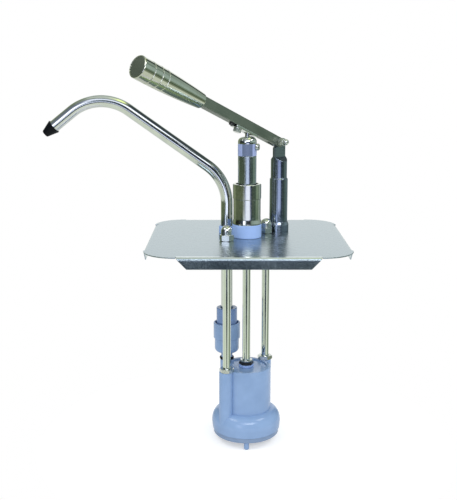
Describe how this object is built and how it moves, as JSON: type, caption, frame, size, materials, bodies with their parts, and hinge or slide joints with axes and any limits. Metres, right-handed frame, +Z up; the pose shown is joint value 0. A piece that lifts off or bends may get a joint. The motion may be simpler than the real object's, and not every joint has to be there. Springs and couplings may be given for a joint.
{
  "type": "batter dispenser",
  "caption": "Hand-lever batter dispenser: square lid with an arched spout, a sprung plunger in a column and a piston pump hung below on rods.",
  "frame": {"origin": "middle of the lid's flat underside, where the lid rests on the rim of a container", "axes": "+Z up along the plunger; -Y faces the viewer of the picture, +X to their right; the lever lies over the diagonal from the front left to the back right"},
  "size_m": [0.4494, 0.2993, 0.5829],
  "materials": {
    "satin_sheet": "satin brushed stainless sheet",
    "turned_steel": "machined stainless with fine turning marks",
    "polished_steel": "polished stainless",
    "bright_fasteners": "bright stainless fasteners",
    "bar_steel": "darker ground bar",
    "spring_steel": "drawn spring wire",
    "pale_blue_plastic": "light blue moulded plastic, fine grain",
    "blue_plastic": "machined blue-gray acetal, satin",
    "white_plastic": "white bearing plastic",
    "black_rubber": "black moulded rubber",
    "black_plastic": "black plastic"
  },
  "bodies": {
    "frame": {"lid": "satin_sheet", "column_collar": "pale_blue_plastic", "guide_sleeve": "turned_steel", "guide_bush": "white_plastic", "sleeve_cap": "turned_steel", "column_nut": "bright_fasteners", "spout_collar": "pale_blue_plastic", "tube_locknut": "pale_blue_plastic", "spout_tube": "polished_steel", "nozzle": "black_rubber", "post_collar": "turned_steel", "fulcrum_post": "turned_steel", "post_nut": "bright_fasteners", "front_support_rod": "polished_steel", "back_support_rod": "polished_steel", "lid_cap_nuts": "bright_fasteners", "under_lid_nuts": "bright_fasteners", "lug_nuts": "bright_fasteners", "pump_body": "blue_plastic", "gland_body": "pale_blue_plastic", "gland_nut": "black_plastic", "gland_ring": "bright_fasteners", "body_seal": "black_rubber", "intake_plate": "blue_plastic", "intake_pegs": "blue_plastic", "plate_screws": "bright_fasteners", "valve_body": "blue_plastic", "valve_union": "blue_plastic", "tube_gland": "blue_plastic", "tube_seal": "black_rubber", "ball_stop": "turned_steel"},
    "lever": {"lever_bar": "bar_steel", "grip": "polished_steel", "grip_end_disc": "bar_steel", "keeper_plate": "bright_fasteners", "keeper_bolt": "bright_fasteners", "keeper_screw": "black_plastic", "pivot_bolt": "bright_fasteners", "pivot_nut": "bright_fasteners", "pivot_cap_nut": "bright_fasteners"},
    "plunger": {"plunger_head": "turned_steel", "plunger_band": "blue_plastic", "plunger_dome": "polished_steel", "band_screw": "bright_fasteners", "link_stud": "polished_steel", "piston_rod": "polished_steel", "piston": "blue_plastic", "piston_seal": "black_rubber", "piston_nut": "bright_fasteners", "return_spring": "spring_steel"},
    "inlet_valve": {"inlet_valve": "blue_plastic", "inlet_clip": "polished_steel"},
    "outlet_ball": {"outlet_ball": "black_plastic"}
  },
  "joints": [
    {"name": "lever_hinge", "type": "hinge", "parent": "frame", "child": "lever", "pos_m": [0.04419, 0.04419, 0.1392], "axis": [0.7071, -0.7071, 0], "range_deg": [0, 30]},
    {"name": "plunger_slide", "type": "slide", "parent": "frame", "child": "plunger", "axis": [0, 0, -1], "range_m": [0, 0.034], "stiffness_N_per_m": 600, "springref_m": -0.06, "deforming": ["return_spring"]},
    {"name": "inlet_valve_lift", "type": "slide", "parent": "frame", "child": "inlet_valve", "axis": [0, 0, 1], "range_m": [0, 0.005]},
    {"name": "outlet_ball_lift", "type": "slide", "parent": "frame", "child": "outlet_ball", "axis": [0, 0, 1], "range_m": [0, 0.007]}
  ],
  "couplings": [
    {"joint": "plunger_slide", "follows": "lever_hinge", "m_per_rad": 0.0649}
  ]
}
